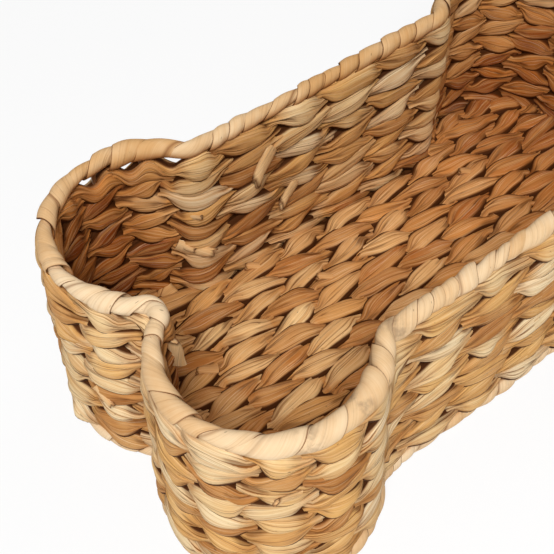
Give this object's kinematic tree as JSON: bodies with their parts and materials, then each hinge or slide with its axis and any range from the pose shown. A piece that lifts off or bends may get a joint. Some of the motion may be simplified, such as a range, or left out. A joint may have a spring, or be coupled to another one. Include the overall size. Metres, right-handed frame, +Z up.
{
  "type": "bone-shaped woven basket",
  "caption": "Open bone-shaped basket of twined water-hyacinth strands on a hidden wire frame, with a wound rim and foot ring, for a pet's bed cushion or toys.",
  "frame": {"origin": "on the ground under the middle of the basket", "axes": "+X along the basket from end to end, +Y across it, +Z up"},
  "size_m": [0.4052, 0.224, 0.14],
  "materials": {
    "wire": "plain drawn steel wire, welded",
    "strip": "pale dried plant strip, wound in close laps, dull with a faint sheen",
    "wall_strand": "flattened dried water-hyacinth stems, ribbed along their length, dull",
    "floor_strand": "the same stems, a little darker on the floor, dull"
  },
  "bodies": {
    "root": {"floor_row_01_1": "floor_strand", "floor_row_01_2": "floor_strand", "floor_row_02_1": "floor_strand", "floor_row_02_2": "floor_strand", "floor_row_03": "floor_strand", "floor_row_04": "floor_strand", "floor_row_05": "floor_strand", "floor_row_06": "floor_strand", "floor_row_07": "floor_strand", "floor_row_08": "floor_strand", "floor_row_09": "floor_strand", "floor_row_10": "floor_strand", "floor_row_11": "floor_strand", "floor_row_12": "floor_strand", "floor_row_13": "floor_strand", "floor_row_14": "floor_strand", "floor_row_15": "floor_strand", "floor_row_16_1": "floor_strand", "floor_row_16_2": "floor_strand", "floor_row_17_1": "floor_strand", "floor_row_17_2": "floor_strand", "foot_wrap": "strip", "rim_wrap": "strip", "wall_row_1": "wall_strand", "wall_row_2": "wall_strand", "wall_row_3": "wall_strand", "wall_row_4": "wall_strand", "wall_row_5": "wall_strand", "wall_row_6": "wall_strand", "wall_row_7": "wall_strand", "wall_row_8": "wall_strand", "wall_row_9": "wall_strand", "wire_frame": "wire"}
  },
  "joints": []
}
